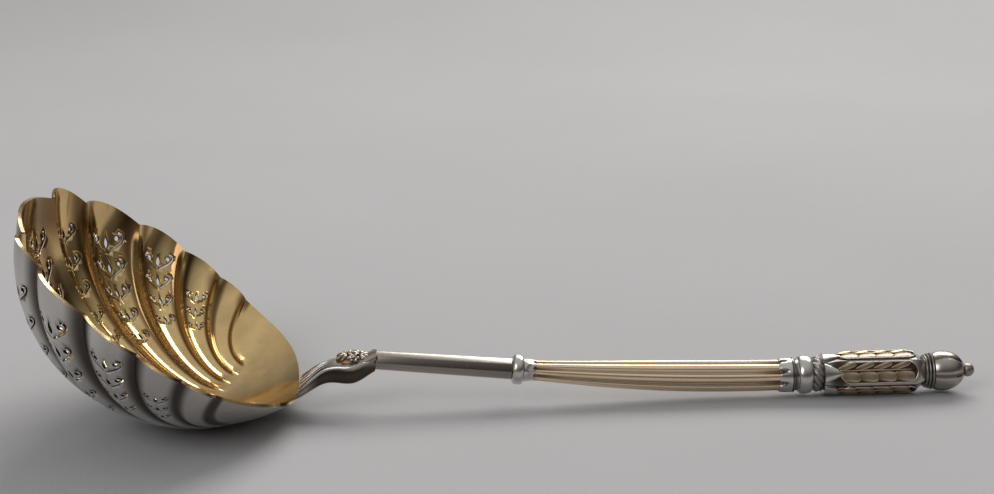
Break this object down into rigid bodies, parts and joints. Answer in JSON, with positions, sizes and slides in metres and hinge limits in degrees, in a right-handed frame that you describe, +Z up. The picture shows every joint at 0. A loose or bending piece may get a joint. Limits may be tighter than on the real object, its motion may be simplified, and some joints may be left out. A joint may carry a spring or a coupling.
{
  "type": "sifter spoon",
  "caption": "Sifter spoon with a pierced, fluted shell bowl, gilt inside, on a straight silver handle with a fluted gilt stem, turned collars, a faceted wheat-ear capital and a bud finial.",
  "frame": {"origin": "on the table, at the middle of the small flat under the bowl that the spoon lies on", "axes": "+Z up, +X from the bowl along the handle to the finial, Y across the bowl"},
  "size_m": [0.1762, 0.072, 0.0407],
  "materials": {
    "silver": "polished silver, lightly tarnished",
    "gilt": "gilt silver, satin",
    "dark_silver": "oxidised silver in the narrow rings"
  },
  "bodies": {
    "root": {"bowl": "silver", "bud": "silver", "capital": "silver", "finial_pin": "dark_silver", "flower_boss": "silver", "fluted_stem": "gilt", "grip_dowel": "silver", "heel_bracket": "silver", "lower_calyx": "silver", "lower_ring": "silver", "lower_stem": "silver", "neck_ring": "dark_silver", "rope_ring": "dark_silver", "stem_dowel": "silver", "upper_cup": "silver", "upper_ring": "silver"}
  },
  "joints": []
}
